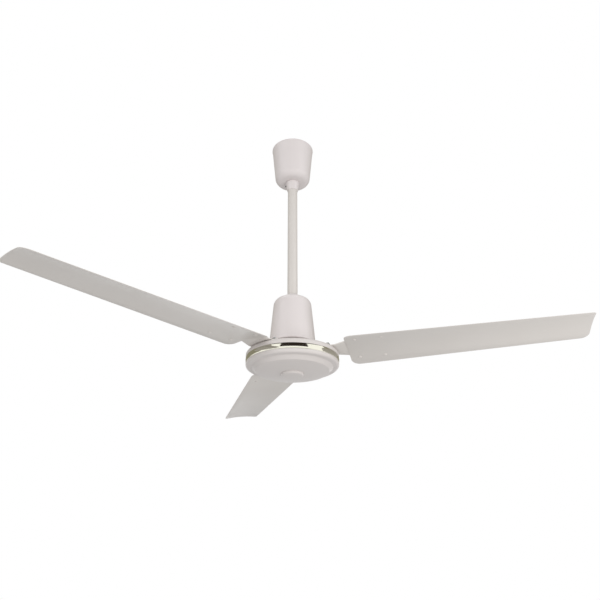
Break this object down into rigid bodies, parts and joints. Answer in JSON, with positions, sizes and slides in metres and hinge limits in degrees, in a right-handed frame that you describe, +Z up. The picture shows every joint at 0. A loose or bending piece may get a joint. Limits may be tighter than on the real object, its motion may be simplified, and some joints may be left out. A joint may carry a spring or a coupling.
{
  "type": "ceiling fan",
  "caption": "Ceiling fan on a long downrod: hook in a tapered canopy, bell-shaped motor cover, flat round motor housing with a bright band, and wide cambered blades on pressed arms.",
  "frame": {"origin": "on the ceiling, at the middle of the ceiling plate's upper face, on the downrod's axis", "axes": "+Z up along the downrod, +X out along the first blade, +Y along the ceiling, square to that blade"},
  "size_m": [1.0966, 1.2593, 0.7033],
  "materials": {
    "white_enamel": "smooth white enamel",
    "white_casting": "die-cast, smooth white enamel",
    "white_plastic": "moulded, satin white",
    "white_rubber": "soft, matt",
    "zinc_steel": "zinc plated",
    "dark_steel": "oiled black",
    "ground_steel": "ground",
    "ball_steel": "polished",
    "bush_steel": "turned",
    "black_rubber": "matt moulded",
    "terminal_nylon": "natural nylon",
    "capacitor_plastic": "moulded, fine grain",
    "lamination_steel": "varnished laminations",
    "cast_aluminium": "as cast",
    "copper_wire": "enamelled copper wire",
    "bright_trim": "polished",
    "bright_rivet": "semi-bright"
  },
  "bodies": {
    "ceiling_mount": {"ceiling_plate": "zinc_steel", "hanging_hook": "zinc_steel", "hook_lock_nut": "zinc_steel"},
    "roller": {"rubber_roller": "black_rubber", "roller_bush": "bush_steel"},
    "hanger": {"rod_shackle": "zinc_steel", "shackle_bolt": "zinc_steel", "shackle_nut": "zinc_steel", "split_pins": "zinc_steel", "downrod": "white_enamel", "rod_bolts": "zinc_steel", "rod_bolt_nuts": "zinc_steel", "terminal_block": "terminal_nylon", "terminal_screw": "zinc_steel", "motor_yoke": "dark_steel", "grub_screws": "dark_steel", "capacitor": "capacitor_plastic", "capacitor_band": "zinc_steel", "motor_shaft": "ground_steel", "shaft_circlips": "dark_steel", "stator_hub": "cast_aluminium", "stator_core": "lamination_steel", "stator_coils": "copper_wire", "upper_bearing_inner": "ground_steel", "lower_bearing_inner": "ground_steel"},
    "canopy_set": {"canopy": "white_plastic", "canopy_collar": "white_plastic", "canopy_set_screw": "zinc_steel"},
    "cover_set": {"motor_cover": "white_plastic", "cover_grommet": "white_rubber"},
    "rotor": {"upper_bearing_outer": "ground_steel", "lower_bearing_outer": "ground_steel", "upper_bearing_balls": "ball_steel", "lower_bearing_balls": "ball_steel", "rotor_core": "lamination_steel", "rotor_cage": "cast_aluminium", "upper_shield": "white_casting", "lower_shield": "white_casting", "trim_band": "bright_trim", "bottom_cap": "white_plastic", "arm_screws": "zinc_steel", "blade_rivets": "bright_rivet", "blade_arm_1": "white_enamel", "blade_arm_2": "white_enamel", "blade_arm_3": "white_enamel", "blade_1": "white_enamel", "blade_2": "white_enamel", "blade_3": "white_enamel"}
  },
  "joints": [
    {"name": "hanger_rock", "type": "hinge", "parent": "ceiling_mount", "child": "roller", "pos_m": [0, 0, -0.0663], "axis": [0, 1, 0], "range_deg": [-4, 4]},
    {"name": "hanger_swing", "type": "hinge", "parent": "roller", "child": "hanger", "pos_m": [0, 0, -0.05], "axis": [1, 0, 0], "range_deg": [-4, 4]},
    {"name": "canopy_slide", "type": "slide", "parent": "hanger", "child": "canopy_set", "axis": [0, 0, 1], "range_m": [-0.15, 0]},
    {"name": "cover_slide", "type": "slide", "parent": "hanger", "child": "cover_set", "axis": [0, 0, 1], "range_m": [0, 0.11]},
    {"name": "fan_spin", "type": "hinge", "parent": "hanger", "child": "rotor", "pos_m": [0, 0, -0.66], "axis": [0, 0, 1], "continuous": true}
  ]
}
